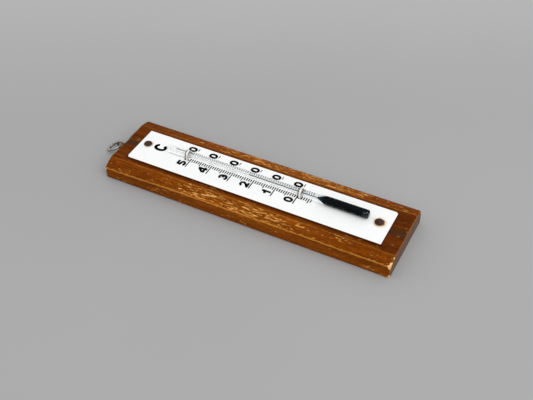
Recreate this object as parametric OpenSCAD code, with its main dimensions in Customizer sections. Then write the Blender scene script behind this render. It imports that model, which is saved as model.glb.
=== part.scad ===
// Wall thermometer on a bevelled wooden board, lying on its back as it is stored.
// X runs across the board, Y along it towards the hanging ring, and Z out of the face.
// The origin is the centre of the board's back. Millimetres.

/* [Board] */
// Length of the wooden board
board_l = 180; // [163:1:220]
// Width of the wooden board
board_w = 47; // [40:0.5:60]
// Thickness at the flat middle of the face
board_t = 11; // [9:0.5:16]
// Width of each bevel on the long edges
bevel_w = 7; // [3:0.5:9]
// Drop of each bevel from the flat middle to the side
bevel_drop = 2; // [1:0.25:4]
// Height of the swell in the middle of each bevel
bevel_crown = 0.2; // [0.05:0.05:0.4]
// Radius worn on the long edges between bevel and side
arris_r = 1.2; // [0.5:0.1:2]
// Bevel along the edges of the back
back_chamfer = 0.5; // [0.2:0.1:1]
// Width of the groove along the middle of the face
groove_w = 5.4; // [3:0.2:8]
// Depth of the groove
groove_d = 0.5; // [0.3:0.1:1.5]

/* [Scale plate] */
// Length of the scale plate
plate_l = 161; // [140:1:175]
// Distance that the plate sits above the middle of the board
plate_shift = 0.4; // [-2:0.1:2]
// Width of the scale plate
plate_w = 27; // [22:0.5:30]
// Thickness of the plate's sheet
plate_t = 0.8; // [0.5:0.1:2]
// Radius of the plate's corners
plate_corner_r = 2; // [1:0.25:4]

/* [Scale] */
// Lowest degree on the scale
scale_min = -6; // [-10:1:-2]
// Highest degree on the scale
scale_max = 50; // [40:1:50]
// Reading of the thermometer
reading = 22.5; // [5:0.5:35]

/* [Glass] */
// Length of plate beyond the sealed tip
plate_above = 19; // [14:0.5:26]
// Length of plate beyond the end of the bulb
plate_below = 13; // [11:0.5:20]
// Outer diameter of the stem
stem_d = 4; // [3:0.1:5]
// Distance of the stem from the board's centreline
stem_x = 2.1; // [0:0.1:4]
// Outer diameter of the bulb
bulb_d = 5.2; // [5:0.1:6.5]
// Length of the straight part of the bulb
bulb_l = 24; // [16:0.5:32]
// Length of the shoulder between bulb and stem
shoulder_l = 6.8; // [4:0.2:8]
// Corner radius at the bulb's closed end
bulb_end_r = 1.3; // [0.8:0.1:1.8]
// Thickness of the bulb's wall
bulb_wall = 0.5; // [0.3:0.05:0.8]
// Diameter of the capillary bore
bore_d = 0.6; // [0.4:0.05:0.8]
// Diameter of the expansion chamber at the top of the bore
chamber_d = 1.6; // [1:0.1:1.8]
// Length of the expansion chamber
chamber_l = 4; // [2.5:0.25:5]
// Length of the stem above the top mark
stem_above = 16.8; // [12:0.2:24]
// Distance from the shoulder up to the lowest mark
shoulder_gap = 3.3; // [2:0.1:5]
// Length of the moving top of the spirit thread
meniscus_l = 3; // [2:0.25:5]

/* [Stem staples] */
// Width of the staples' flat strip
staple_w = 2.4; // [1.6:0.1:3]
// Thickness of the strip
staple_t = 0.35; // [0.25:0.05:0.6]
// Clearance between the stem and a staple
staple_gap = 0.12; // [0.05:0.01:0.3]
// Distance of the upper staple above the top mark
staple_above = 2.3; // [2:0.1:7]
// Distance of the lower staple below the zero mark
staple_below = 1.4; // [0:0.1:3]
// Wood left behind the points of the staples
staple_cover = 4.5; // [2:0.25:6]

/* [Plate nails] */
// Diameter of a nail head
nail_head_d = 5; // [4:0.1:6]
// Height of a nail head
nail_head_h = 1.1; // [0.6:0.1:1.6]
// Diameter of a nail shank
nail_shank_d = 1.8; // [1.2:0.1:2.2]
// Distance of the upper nail from the plate's upper end
upper_nail_inset = 5; // [4:0.1:8]
// Distance of the lower nail from the plate's lower end
lower_nail_inset = 7; // [4:0.1:8]
// Wood left behind the points of the nails
nail_cover = 2.3; // [1:0.1:4]

/* [Hanger] */
// Diameter of the screw eye's wire
eye_wire = 1.3; // [1:0.1:1.6]
// Inner diameter of the eye
eye_hole_d = 3.6; // [3.4:0.1:5]
// Distance from the board's end to the middle of the eye
eye_reach = 4.9; // [4.4:0.1:7]
// Height of the eye above the board's back
eye_z = 5; // [4.5:0.1:6]
// Length of the eye's shank inside the wood
eye_shank = 11; // [6:0.5:12]
// Diameter of the hanging ring's wire
ring_wire = 1.2; // [0.9:0.1:1.4]
// Inner diameter of the hanging ring
ring_hole_d = 7.8; // [7.4:0.2:14]

/* [Hidden] */

// Clearances and small constants
drive_gap = 0.02;      // between a nail, staple or screw and the wood it is driven into
plate_gap = 0.15;      // around a shank where it passes the plate
liquid_gap = 0.03;     // between the spirit and the glass
rest_gap = 0.05;       // between the bulb and the plate it lies on
ring_gap = 0.1;        // between the ring and the inside of the eye
point_l = 2;           // length of the points of nails, staples and the screw
arc_steps = 8;         // straight pieces in a quarter of a turned corner
overlap = 0.5;         // how far a cutter passes the face it cuts
wire_fn = 32;
round_fn = 64;

// Heights and places that follow from the sizes above
side_h = board_t - bevel_drop;
face_z = board_t + plate_t;
plate_top_y = plate_shift + plate_l / 2;
plate_bottom_y = plate_shift - plate_l / 2;
glass_l = plate_l - plate_above - plate_below;
glass_y = plate_bottom_y + plate_below;
neck_s = bulb_l + shoulder_l;
scale_s = neck_s + shoulder_gap;
deg_pitch = (glass_l - stem_above - scale_s) / (scale_max - scale_min);
nail_top_y = plate_top_y - upper_nail_inset;
nail_bottom_y = plate_bottom_y + lower_nail_inset;
axis_z = face_z + rest_gap + bulb_d / 2;
bulb_cavity_r = bulb_d / 2 - bulb_wall;
level_s = mark_y(reading) - glass_y;
tip_l = 0.6 * stem_d;
chamber_top_s = glass_l - tip_l;
staple_top_y = mark_y(scale_max) + staple_above;
staple_bottom_y = mark_y(0) - staple_below;
staple_r = (stem_d + staple_t) / 2 + staple_gap;
nail_l = face_z - nail_cover;
eye_y = board_l / 2 + eye_reach;
eye_r = (eye_hole_d + eye_wire) / 2;
ring_r = (ring_hole_d + ring_wire) / 2;
ring_offset = (eye_hole_d - ring_wire) / 2 - ring_gap;
// The ring lies with its far side on the ground
ring_lean = asin((eye_z - ring_wire / 2) / (ring_offset + 2 * ring_r));

// Place of a degree mark along the board
function mark_y(degree) = glass_y + scale_s + (degree - scale_min) * deg_pitch;

// Points of an arc about (cx, cy) from angle a0 to a1
function arc(cx, cy, r, a0, a1, steps) =
    [for (i = [0:steps]) let (a = a0 + (a1 - a0) * i / steps) [cx + r * cos(a), cy + r * sin(a)]];

// Right half of the face's outline, from the side over the rounded arris and the swell to the flat
function bevel_outline() =
    let (chord = norm([bevel_w, bevel_drop]),
         crown_r = chord * chord / (8 * bevel_crown) + bevel_crown / 2,
         slope = atan(bevel_drop / bevel_w),
         spread = asin(chord / 2 / crown_r),
         crown_x = (board_w - bevel_w) / 2 - (crown_r - bevel_crown) * sin(slope),
         crown_z = side_h + bevel_drop / 2 - (crown_r - bevel_crown) * cos(slope),
         arris_x = board_w / 2 - arris_r,
         arris_z = crown_z + sqrt(pow(crown_r - arris_r, 2) - pow(arris_x - crown_x, 2)),
         turn = atan2(arris_z - crown_z, arris_x - crown_x),
         swell = arc(crown_x, crown_z, crown_r, turn, 90 - slope + spread, arc_steps))
    concat(arc(arris_x, arris_z, arris_r, 0, turn, arc_steps),
           [for (i = [1:arc_steps]) swell[i]]);

// Cross-section of the board with its bevels, chamfered back and groove
module board_section() {
    right = concat([[board_w / 2 - back_chamfer, 0], [board_w / 2, back_chamfer]],
                   bevel_outline());
    count = len(right);
    left = [for (i = [count - 1:-1:0]) [-right[i][0], right[i][1]]];
    difference() {
        polygon(concat(right, left));
        translate([-groove_w / 2, board_t - groove_d]) square([groove_w, groove_d + overlap]);
    }
}

// Straight round rod with a point at its lower end, its top at the origin
module pointed_rod(d, l) {
    translate([0, 0, point_l - l]) cylinder(d = d, h = l - point_l, $fn = wire_fn);
    translate([0, 0, -l]) cylinder(d1 = d / 6, d2 = d, h = point_l, $fn = wire_fn);
}

// Flat strip across X with a point at its lower end, the middle of its top at the origin
module pointed_strip(l) {
    translate([-staple_t / 2, 0, 0]) rotate([90, 0, 90])
        linear_extrude(height = staple_t)
            polygon([[-staple_w / 2, 0], [-staple_w / 2, point_l - l], [0, -l],
                     [staple_w / 2, point_l - l], [staple_w / 2, 0]]);
}

// Slot around a staple's strip, with a gap on every side
module strip_slot(gap, bottom, top) {
    size = [staple_t + 2 * gap, staple_w + 2 * gap, top - bottom];
    translate([-size[0] / 2, -size[1] / 2, bottom]) cube(size);
}

// Hole for a driven rod of the same size, its top at the origin
module driven_hole(d, l) {
    translate([0, 0, -l - drive_gap])
        cylinder(d = d + 2 * drive_gap, h = l + overlap + drive_gap, $fn = wire_fn);
}

// Puts its children at each leg of a staple that straddles the stem
module at_staple_legs(y) {
    for (side = [-1, 1]) translate([stem_x + side * staple_r, y, 0]) children();
}

// Puts its children at both plate nails, with Z at the plate's face
module at_plate_nails() {
    for (y = [nail_top_y, nail_bottom_y]) translate([stem_x, y, face_z]) children();
}

module backboard() {
    color([0.54, 0.29, 0.07]) difference() {
        translate([0, board_l / 2, 0]) rotate([90, 0, 0])
            linear_extrude(height = board_l) board_section();
        at_plate_nails() driven_hole(nail_shank_d, nail_l);
        for (y = [staple_top_y, staple_bottom_y]) at_staple_legs(y)
            strip_slot(drive_gap, staple_cover - drive_gap, board_t + overlap);
        translate([0, board_l / 2, eye_z]) rotate([-90, 0, 0])
            driven_hole(eye_wire, eye_shank);
    }
}

// Flat outline of the plate with its rounded corners
module plate_outline() {
    inner = [plate_w - 2 * plate_corner_r, plate_l - 2 * plate_corner_r];
    square([plate_w, inner[1]], center = true);
    square([inner[0], plate_l], center = true);
    for (x = [-1, 1], y = [-1, 1])
        translate([x * inner[0] / 2, y * inner[1] / 2]) circle(r = plate_corner_r, $fn = wire_fn);
}

module scale_plate() {
    color([0.96, 0.97, 0.97]) difference() {
        translate([0, plate_shift, board_t])
            linear_extrude(height = plate_t) plate_outline();
        at_plate_nails() translate([0, 0, -plate_t - overlap])
            cylinder(d = nail_shank_d + 2 * plate_gap, h = plate_t + 2 * overlap, $fn = wire_fn);
        for (y = [staple_top_y, staple_bottom_y]) at_staple_legs(y)
            strip_slot(plate_gap, board_t - overlap, face_z + overlap);
    }
}

// Turns an outline of (radius, distance along) about the axis of the glass
module turn_about_stem() {
    translate([stem_x, glass_y, axis_z]) rotate([-90, 0, 0])
        rotate_extrude($fn = round_fn) children();
}

// Shoulder drawn from one radius to another by a smooth wave
function shoulder(r0, r1, s0, s1) =
    [for (i = [0:arc_steps]) let (t = i / arc_steps)
        [r0 + (r1 - r0) * (1 - cos(180 * t)) / 2, s0 + (s1 - s0) * t]];

// Outer skin of the glass, from the bulb's end to the sealed tip
function glass_outline() = concat(
    [[0, 0]],
    arc(bulb_d / 2 - bulb_end_r, bulb_end_r, bulb_end_r, -90, 0, arc_steps),
    shoulder(bulb_d / 2, stem_d / 2, bulb_l, neck_s),
    [for (i = [0:arc_steps]) let (a = 90 * i / arc_steps)
        [stem_d / 2 * cos(a), glass_l - tip_l + tip_l * sin(a)]]);

// Space inside the bulb up to the neck, drawn in by a gap on every side
function bulb_space(gap) =
    let (r = bulb_cavity_r - gap, corner = bulb_end_r - bulb_wall)
    concat([[0, bulb_wall + gap]],
           arc(r - corner, bulb_wall + gap + corner, corner, -90, 0, arc_steps),
           [[r, bulb_l], [bore_d / 2 - gap, neck_s]]);

// Bore and expansion chamber above the neck
function bore_space() =
    let (r = chamber_d / 2, start = chamber_top_s - chamber_l)
    concat([[bore_d / 2, start]],
           [for (i = [1:arc_steps]) let (t = i / arc_steps)
               [bore_d / 2 + (r - bore_d / 2) * (1 - cos(180 * t)) / 2, start + t * chamber_l / 2]],
           arc(0, chamber_top_s - r, r, 0, 90, arc_steps));

module stem_glass() {
    color([0.86, 0.93, 0.93, 0.35]) difference() {
        turn_about_stem() polygon(glass_outline());
        turn_about_stem() polygon(concat(bulb_space(0), bore_space()));
    }
}

module bulb_spirit() {
    color([0.01, 0.03, 0.07]) turn_about_stem()
        polygon(concat(bulb_space(liquid_gap), [[0, neck_s]]));
}

// Stretch of the spirit thread between two distances along the glass
module thread(s0, s1) {
    translate([stem_x, glass_y + s0, axis_z]) rotate([-90, 0, 0])
        cylinder(d = bore_d - 2 * liquid_gap, h = s1 - s0, $fn = wire_fn);
}

module spirit_column() {
    color([0.03, 0.2, 0.27]) thread(neck_s, level_s - meniscus_l);
}

// The thread's top climbs the glass, so its surface is hollow
module spirit_meniscus() {
    color([0.03, 0.2, 0.27]) difference() {
        thread(level_s - meniscus_l, level_s);
        translate([stem_x, glass_y + level_s + bore_d / 2, axis_z])
            sphere(d = 1.2 * bore_d, $fn = wire_fn);
    }
}

// Strip bent over the stem, with both legs driven through the plate into the wood
module stem_staple(y) {
    color([0.80, 0.79, 0.76]) {
        translate([stem_x, y, axis_z]) rotate([90, 0, 0])
            rotate_extrude(angle = 180, $fn = round_fn)
                translate([staple_r, 0]) square([staple_t, staple_w], center = true);
        at_staple_legs(y) translate([0, 0, axis_z]) pointed_strip(axis_z - staple_cover);
    }
}

module upper_stem_staple() { stem_staple(staple_top_y); }
module lower_stem_staple() { stem_staple(staple_bottom_y); }

// Domed head with a thin rim, and a pointed shank
module plate_nail(y) {
    rim = nail_head_h / 5;
    dome = nail_head_h - rim;
    dome_r = (nail_head_d * nail_head_d / 4 + dome * dome) / (2 * dome);
    spread = asin(nail_head_d / 2 / dome_r);
    color([0.25, 0.14, 0.09]) translate([stem_x, y, face_z]) {
        rotate_extrude($fn = round_fn)
            polygon(concat([[0, 0], [nail_head_d / 2, 0]],
                           arc(0, nail_head_h - dome_r, dome_r, 90 - spread, 90, arc_steps)));
        pointed_rod(nail_shank_d, nail_l);
    }
}

module upper_plate_nail() { plate_nail(nail_top_y); }
module lower_plate_nail() { plate_nail(nail_bottom_y); }

// Wire eye that stands upright out of the end grain, closed but for a small slit
module screw_eye() {
    slit = 14;
    neck = eye_reach - eye_r;
    color([0.36, 0.31, 0.27]) {
        translate([0, eye_y, eye_z]) rotate([0, -90, 0])
            rotate([0, 0, slit - 90])
                rotate_extrude(angle = 360 - slit, $fn = round_fn)
                    translate([eye_r, 0]) circle(d = eye_wire, $fn = wire_fn);
        translate([0, board_l / 2 + neck, eye_z]) rotate([-90, 0, 0])
            pointed_rod(eye_wire, eye_shank + neck);
    }
}

module hanging_ring() {
    color([0.42, 0.41, 0.38]) translate([0, eye_y, eye_z]) rotate([-ring_lean, 0, 0])
        translate([0, ring_offset + ring_r, 0])
            rotate_extrude($fn = round_fn)
                translate([ring_r, 0]) circle(d = ring_wire, $fn = wire_fn);
}

backboard();
scale_plate();
stem_glass();
bulb_spirit();
spirit_column();
spirit_meniscus();
upper_stem_staple();
lower_stem_staple();
upper_plate_nail();
lower_plate_nail();
screw_eye();
hanging_ring();
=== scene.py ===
import random
from math import asin, atan2, copysign, cos, degrees, dist, hypot, pi, radians, sin, sqrt

import bpy
import numpy as np
from mathutils import Matrix, Vector, noise
from mathutils.geometry import tessellate_polygon


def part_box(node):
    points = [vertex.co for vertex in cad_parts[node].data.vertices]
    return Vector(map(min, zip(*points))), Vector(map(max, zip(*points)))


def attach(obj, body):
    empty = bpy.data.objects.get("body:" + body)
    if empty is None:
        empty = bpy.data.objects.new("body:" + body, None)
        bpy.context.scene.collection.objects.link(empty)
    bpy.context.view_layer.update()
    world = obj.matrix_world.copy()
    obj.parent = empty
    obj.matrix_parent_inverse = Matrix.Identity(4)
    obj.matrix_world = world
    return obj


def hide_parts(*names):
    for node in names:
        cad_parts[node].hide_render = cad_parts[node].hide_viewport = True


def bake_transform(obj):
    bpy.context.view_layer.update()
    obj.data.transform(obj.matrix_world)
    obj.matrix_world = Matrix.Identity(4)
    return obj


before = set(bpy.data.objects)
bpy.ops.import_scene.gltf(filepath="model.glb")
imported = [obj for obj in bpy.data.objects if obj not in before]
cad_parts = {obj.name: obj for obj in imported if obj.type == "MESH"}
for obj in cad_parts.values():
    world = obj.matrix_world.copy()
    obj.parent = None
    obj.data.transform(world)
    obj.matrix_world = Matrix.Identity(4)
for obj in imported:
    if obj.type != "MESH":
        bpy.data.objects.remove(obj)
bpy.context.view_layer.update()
scene = bpy.context.scene
mm = 0.001


# Small helpers for colours, boxes and meshes

def tone(red, green, blue):
    # a screen colour, 0 to 255, as the linear colour that the sockets take
    def channel(value):
        share = value / 255
        return share / 12.92 if share <= 0.04045 else ((share + 0.055) / 1.055) ** 2.4
    return (channel(red), channel(green), channel(blue), 1.0)


def boxMm(nodeName):
    low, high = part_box(nodeName)
    return low / mm, high / mm


def centreMm(nodeName):
    low, high = boxMm(nodeName)
    return (low + high) / 2


def arc(centreX, centreY, radius, start, stop, steps):
    # points of an arc in the plane, angles in degrees
    points = []
    for i in range(steps + 1):
        angle = radians(start + (stop - start) * i / steps)
        points.append((centreX + radius * cos(angle), centreY + radius * sin(angle)))
    return points


def spread(start, stop, steps):
    # even steps from the start to the stop, without the start itself
    return [start + (stop - start) * i / steps for i in range(1, steps + 1)]


def smoothStep(low, high, value):
    share = min(1.0, max(0.0, (value - low) / (high - low)))
    return share * share * (3 - 2 * share)


def meshPiece(name, points, faces, smooth=True):
    # points are in millimetres
    mesh = bpy.data.meshes.new(name)
    mesh.from_pydata([(p[0] * mm, p[1] * mm, p[2] * mm) for p in points], [], faces)
    mesh.update()
    if smooth:
        mesh.shade_smooth()
    piece = bpy.data.objects.new(name, mesh)
    scene.collection.objects.link(piece)
    return piece


def addRing(faces, first, second, count):
    # quads between two closed rings of vertices
    for i in range(count):
        j = (i + 1) % count
        faces.append((first + i, first + j, second + j, second + i))


def skin(rings, firstTip=None, lastTip=None):
    # quads from ring to ring; a tip closes its end with a fan
    points = [point for ring in rings for point in ring]
    faces, count = [], len(rings[0])
    last = len(points) - count
    for start in range(0, last, count):
        addRing(faces, start, start + count, count)
    for tip, base, flip in ((firstTip, 0, True), (lastTip, last, False)):
        if tip is None:
            continue
        for s in range(count):
            ends = (base + s, base + (s + 1) % count)
            faces.append((len(points), *(reversed(ends) if flip else ends)))
        points.append(tip)
    return points, faces


def turnsOf(sides):
    return [2 * pi * i / sides for i in range(sides)]


def lathe(outline, axisX, axisZ, sides=64):
    # turns an outline of (radius, y) about a line along Y; its ends lie on the axis
    rings = [[(axisX + radius * cos(a), y, axisZ + radius * sin(a)) for a in turnsOf(sides)]
             for radius, y in reversed(outline[1:-1])]
    return skin(rings, (axisX, outline[-1][1], axisZ), (axisX, outline[0][1], axisZ))


def sweepWire(path, radius, sides=20):
    # round wire along a path; radius is a function of (share of the path, angle round the wire)
    path = [Vector(p) for p in path]
    last = len(path) - 1
    rings, side = [], None
    for i, middle in enumerate(path):
        ahead = (path[min(i + 1, last)] - path[max(i - 1, 0)]).normalized()
        if side is None:
            side = ahead.orthogonal().normalized()
        side = (side - ahead * side.dot(ahead)).normalized()
        other = ahead.cross(side)
        ring = []
        for angle in turnsOf(sides):
            reach = radius(i / last, angle)
            ring.append(middle + side * (reach * cos(angle)) + other * (reach * sin(angle)))
        rings.append(ring)
    # both ends are closed by a low dome
    tips = []
    for ring, outward in ((rings[0], path[0] - path[1]), (rings[-1], path[-1] - path[-2])):
        centre = sum(ring, Vector()) / sides
        tips.append(centre + outward.normalized() * 0.35 * (ring[0] - centre).length)
    return skin(rings, *tips)


def joinLists(parts):
    # one list of points and one of faces from several
    points, faces = [], []
    for partPoints, partFaces in parts:
        start = len(points)
        points.extend(partPoints)
        faces.extend(tuple(start + i for i in face) for face in partFaces)
    return points, faces


def settle(piece, material, body, slotName, *nodeNames):
    if material:
        piece.data.materials.append(material)
    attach(piece, body)
    if nodeNames:
        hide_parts(*nodeNames)


# Helpers for shader nodes

current = {}     # the material and the node tree that are being built


class Flow:
    # the value that leaves a node; signs between flows and numbers add Math nodes

    def __init__(self, socket):
        self.socket = socket

    def __add__(self, other):
        return maths("ADD", self, other)

    def __sub__(self, other):
        return maths("SUBTRACT", self, other)

    def __rsub__(self, other):
        return maths("SUBTRACT", other, self)

    def __mul__(self, other):
        return maths("MULTIPLY", self, other)

    def __truediv__(self, other):
        return maths("DIVIDE", self, other)

    def __pow__(self, other):
        return maths("POWER", self, other)

    def __abs__(self):
        return maths("ABSOLUTE", self)


def feed(made, key, value):
    # a flow is linked to the socket, a number or colour is set on the socket itself
    if isinstance(value, Flow):
        current["tree"].links.new(value.socket, made.inputs[key])
    else:
        made.inputs[key].default_value = value


def flowsOf(made):
    return {socket.name: Flow(socket) for socket in made.outputs}


def addNode(kind, inputs, wanted=0, **settings):
    # gives one output, or all of them by name where none is wanted
    made = current["tree"].nodes.new("ShaderNode" + kind)
    for key, value in settings.items():
        setattr(made, key, value)
    for key, value in inputs.items():
        feed(made, key, value)
    return flowsOf(made) if wanted is None else Flow(made.outputs[wanted])


def maths(operation, first, second=0.0):
    return addNode("Math", {0: first, 1: second}, operation=operation)


def larger(first, second):
    return maths("MAXIMUM", first, second)


def smaller(first, second):
    return maths("MINIMUM", first, second)


def stretch(vector, scale):
    return addNode("VectorMath", {0: vector, 1: scale}, operation="MULTIPLY")


def shift(vector, offset):
    return addNode("VectorMath", {0: vector, 1: offset}, operation="ADD")


def distanceTo(vector, point):
    return addNode("VectorMath", {0: vector, 1: point}, "Value", operation="DISTANCE")


def combine(x, y, z):
    return addNode("CombineXYZ", {0: x, 1: y, 2: z})


def splitXyz(vector):
    return list(addNode("SeparateXYZ", {0: vector}, None).values())


def noiseAt(vector, scale=1.0, detail=3.0, roughness=0.5):
    inputs = {"Vector": vector, "Scale": scale, "Detail": detail, "Roughness": roughness}
    return addNode("TexNoise", inputs, "Fac")


def ramp(value, low, high, outLow=0.0, outHigh=1.0):
    inputs = {"Value": value, "From Min": low, "From Max": high, "To Min": outLow, "To Max": outHigh}
    return addNode("MapRange", inputs, "Result", interpolation_type="SMOOTHSTEP")


def band(value, first, second, third, fourth):
    # rises from first to second and falls again from third to fourth
    return ramp(value, first, second) * ramp(value, fourth, third)


def mix(share, first, second):
    return addNode("Mix", {0: share, 6: first, 7: second}, 2, data_type="RGBA")


def mixValue(share, first, second):
    return addNode("Mix", {"Factor": share, "A": first, "B": second}, data_type="FLOAT")


def tint(colour, factor):
    if isinstance(colour, tuple):
        colour = colour[:3]
    return addNode("VectorMath", {0: colour, "Scale": factor}, operation="SCALE")


def bump(height, strength, depth):
    # depth in millimetres
    return addNode("Bump", {"Strength": strength, "Distance": depth * mm, "Height": height}, "Normal")


def startGroup(name, **inputs):
    # an input without a value is a place
    tree = bpy.data.node_groups.new(name, "ShaderNodeTree")
    current["tree"] = tree
    kinds = {type(None): "Vector", float: "Float", tuple: "Color"}
    for key, value in inputs.items():
        kind = "NodeSocket" + kinds[type(value)]
        socket = tree.interface.new_socket(key, in_out="INPUT", socket_type=kind)
        if value is not None:
            socket.default_value = value
    return flowsOf(tree.nodes.new("NodeGroupInput"))


def endGroup(**results):
    tree = current["tree"]
    for key, value in results.items():
        kind = "NodeSocket" + ("Color" if value.socket.type == "RGBA" else "Float")
        tree.interface.new_socket(key, in_out="OUTPUT", socket_type=kind)
    wanted = tree.nodes.new("NodeGroupOutput")
    for key, value in results.items():
        feed(wanted, key, value)
    return tree


def place(group, where, **inputs):
    return addNode("Group", {"Place": where, **inputs}, None, node_tree=group)


def startMaterial(name):
    # gives the place on the piece, in millimetres
    material = bpy.data.materials.new(name)
    material.use_nodes = True
    current.update(material=material, tree=material.node_tree)
    return stretch(addNode("TexCoord", {}, "Object"), (1 / mm, 1 / mm, 1 / mm))


def endMaterial(colour, roughness, specular=0.5, metallic=0.0, **others):
    values = {"Base Color": colour, "Roughness": roughness, "Specular IOR Level": specular,
              "Metallic": metallic, **others}
    for key, value in values.items():
        feed(current["tree"].nodes["Principled BSDF"], key, value)
    return current["material"]


# Effects that several materials share

def makeWoodGrain():
    given = startGroup("woodGrain", Place=None, Across=1.0, Along=1.0, Wander=2.0)
    drift = noiseAt(stretch(given["Place"], (0.05, 0.018, 0.05)), detail=2.0)
    sway = (drift - 0.5) * given["Wander"]
    bent = shift(given["Place"], combine(sway, 0.0, sway))
    sized = stretch(bent, combine(given["Across"], given["Along"], given["Across"]))
    broad = noiseAt(stretch(sized, (0.22, 0.014, 0.22)))
    streak = noiseAt(stretch(sized, (2.3, 0.07, 2.3)), detail=5.0, roughness=0.62)
    pore = ramp(noiseAt(stretch(sized, (4.6, 0.26, 4.6)), detail=2.0), 0.57, 0.66)
    short = noiseAt(stretch(sized, (3.4, 0.42, 3.4)), detail=2.0, roughness=0.6)
    streak = streak * 0.6 + short * 0.4
    return endGroup(Tone=broad, Streak=streak, Pore=pore, Height=streak - pore * 0.8)


def makeEdgeWear():
    # mask that fades with the distance from an edge, broken up by noise
    given = startGroup("edgeWear", Place=None, Distance=1.0, Width=0.8, Breakup=1.0, Scale=0.5)
    width = given["Width"]
    speckle = noiseAt(stretch(given["Place"], (1.0, 0.35, 1.0)), given["Scale"], 4.0, 0.65)
    wobble = (speckle - 0.5) * given["Breakup"] * (width * 3.0)
    return endGroup(Mask=ramp(given["Distance"] + wobble, width, width * 0.55))


def makeGrainFlecks():
    # short pale marks that lie along the grain, where the varnish has rubbed through
    given = startGroup("grainFlecks", Place=None, Amount=0.5)
    where = given["Place"]
    fine = noiseAt(stretch(where, (1.9, 0.3, 1.9)), detail=1.5, roughness=0.6)
    coarse = noiseAt(stretch(where, (0.7, 0.11, 0.7)), detail=2.0)
    patch = noiseAt(stretch(where, (0.11, 0.035, 0.11)), detail=1.0)
    above = fine * 0.54 + coarse * 0.34 + patch * 0.12 - (0.665 - given["Amount"] * 0.09)
    # thin wavy lines that follow the grain, as where old varnish has crazed
    lines = []
    for offset, size, width, reach in (((7.0, 31.0, 3.0), (0.45, 0.09, 0.45), 0.04, -0.05),
                                       ((19.0, 5.0, 8.0), (1.0, 0.27, 1.0), 0.06, -0.07)):
        crazing = noiseAt(stretch(shift(where, offset), size), roughness=0.6)
        line = ramp(abs(crazing - 0.5), width, width * 0.45)
        lines.append(line * ramp(above, reach, reach + 0.04))
    mask = larger(larger(*lines), ramp(above, 0.0, 0.02))
    return endGroup(Mask=mask, Haze=ramp(above, -0.08, 0.04), Pale=ramp(above, 0.03, 0.11))


def makeRustBloom():
    given = startGroup("rustBloom", Place=None, Scale=1.0, Dark=tone(44, 26, 20), Warm=tone(120, 66, 40),
                       Amount=0.5)
    cloud = noiseAt(given["Place"], given["Scale"], 5.0, 0.68)
    crust = noiseAt(given["Place"], given["Scale"] * 4.0)
    level = cloud + (crust - 0.5) * 0.35
    mask = ramp(level - (0.75 - given["Amount"] * 0.5), -0.06, 0.08)
    colour = mix(ramp(crust, 0.35, 0.65), given["Dark"], given["Warm"])
    return endGroup(Color=colour, Mask=mask, Height=level)


def makeFineScratches():
    # thin straight scuffs in two directions
    given = startGroup("fineScratches", Place=None, Scale=1.0, Amount=0.5)
    masks = []
    for turn, squeeze in ((0.5, 0.05), (2.2, 0.07)):
        turned = addNode("VectorRotate", {"Vector": given["Place"], "Angle": turn}, rotation_type="Z_AXIS")
        line = noiseAt(stretch(turned, (1.6, squeeze, 1.6)), given["Scale"], 2.0)
        masks.append(ramp(abs(line - 0.5), 0.012, 0.0))
    markMask = ramp(noiseAt(given["Place"], 0.12, 2.0), 0.45, 0.7)
    mask = larger(*masks) * markMask * given["Amount"]
    return endGroup(Mask=mask, Height=mask * -1.0)


def makeSoftGrime():
    given = startGroup("softGrime", Place=None, Scale=0.1, Amount=0.5)
    cloud = noiseAt(given["Place"], given["Scale"], 5.0, 0.6)
    dot = addNode("TexVoronoi", {"Vector": given["Place"], "Scale": 0.45}, None, feature="F1")
    kept = maths("GREATER_THAN", splitXyz(dot["Color"])[0], 0.9)
    speck = ramp(dot["Distance"], 0.1, 0.05) * kept
    return endGroup(Mask=ramp(cloud, 0.42, 0.75) * given["Amount"], Speck=speck * given["Amount"])


woodGrain = makeWoodGrain()
edgeWear = makeEdgeWear()
grainFlecks = makeGrainFlecks()
rustBloom = makeRustBloom()
fineScratches = makeFineScratches()
softGrime = makeSoftGrime()
print("shared effects are ready")


# Camera, lamps and floor

view = {
    "place": (-312.07, -171.52, 337.66),
    "ahead": (0.6393, 0.3407, -0.6893),
    "up": (0.6171, 0.3076, 0.7243),
    "lens": 57.16,
}


def makeCamera():
    camera = bpy.data.objects.new("camera", bpy.data.cameras.new("camera"))
    camera.data.sensor_width = 36
    camera.data.lens = view["lens"]
    camera.data.clip_start = 0.01
    ahead = Vector(view["ahead"]).normalized()
    right = ahead.cross(Vector(view["up"])).normalized()
    up = right.cross(ahead)
    turn = Matrix((right, up, -ahead)).transposed().to_4x4()
    camera.matrix_world = Matrix.Translation(Vector(view["place"]) * mm) @ turn
    scene.collection.objects.link(camera)
    scene.camera = camera


studio = {
    "paper": (tone(160, 160, 161), tone(168, 168, 168)),
    "paperFar": tone(177, 177, 177),
    "floorReach": 6.0,
    "floorBelow": 0.03,      # in mm, so that the floor and the back share no plane
    "skyLight": 0.79,
    "skySeen": 0.16,         # what the camera and reflections see
    "skyThrough": 1.9,       # what is seen through the glass
    "keyPlace": (-0.66, -1.3, 1.7),
    "keySize": 2.5,
    "keyPower": 26.6,
}


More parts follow.
